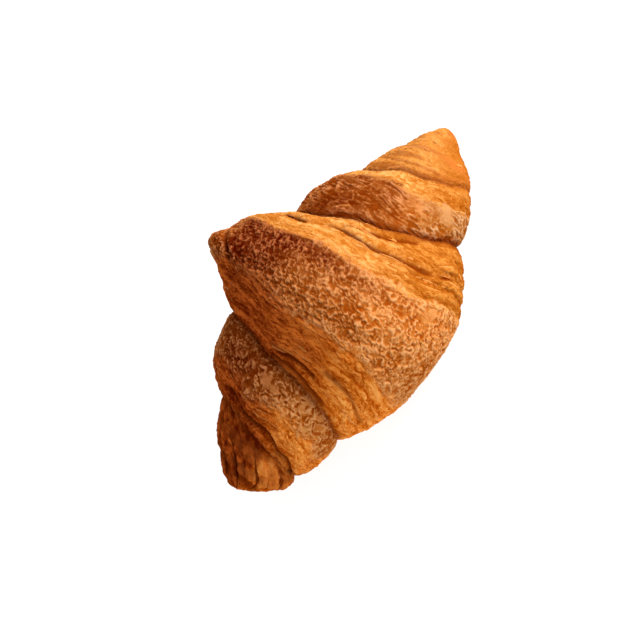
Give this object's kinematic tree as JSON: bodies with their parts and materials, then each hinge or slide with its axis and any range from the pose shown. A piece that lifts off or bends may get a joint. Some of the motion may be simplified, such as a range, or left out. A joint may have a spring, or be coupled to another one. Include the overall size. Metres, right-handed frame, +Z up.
{
  "type": "croissant",
  "caption": "Baked butter croissant: a rolled, bent spindle of laminated dough with stepped turns, cut faces with folds, creases between them and blunt tips.",
  "frame": {"origin": "middle of the flat base, below the middle of the croissant's own box", "axes": "+X along the roll from the blunt tip to the pointed tip, +Z up, -Y the front with the outside of the bend"},
  "size_m": [0.1344, 0.0868, 0.0597],
  "materials": {
    "baked_crust": "satin golden-brown baked crust, darker on top and paler low on the front"
  },
  "bodies": {
    "root": {"croissant": "baked_crust"}
  },
  "joints": []
}
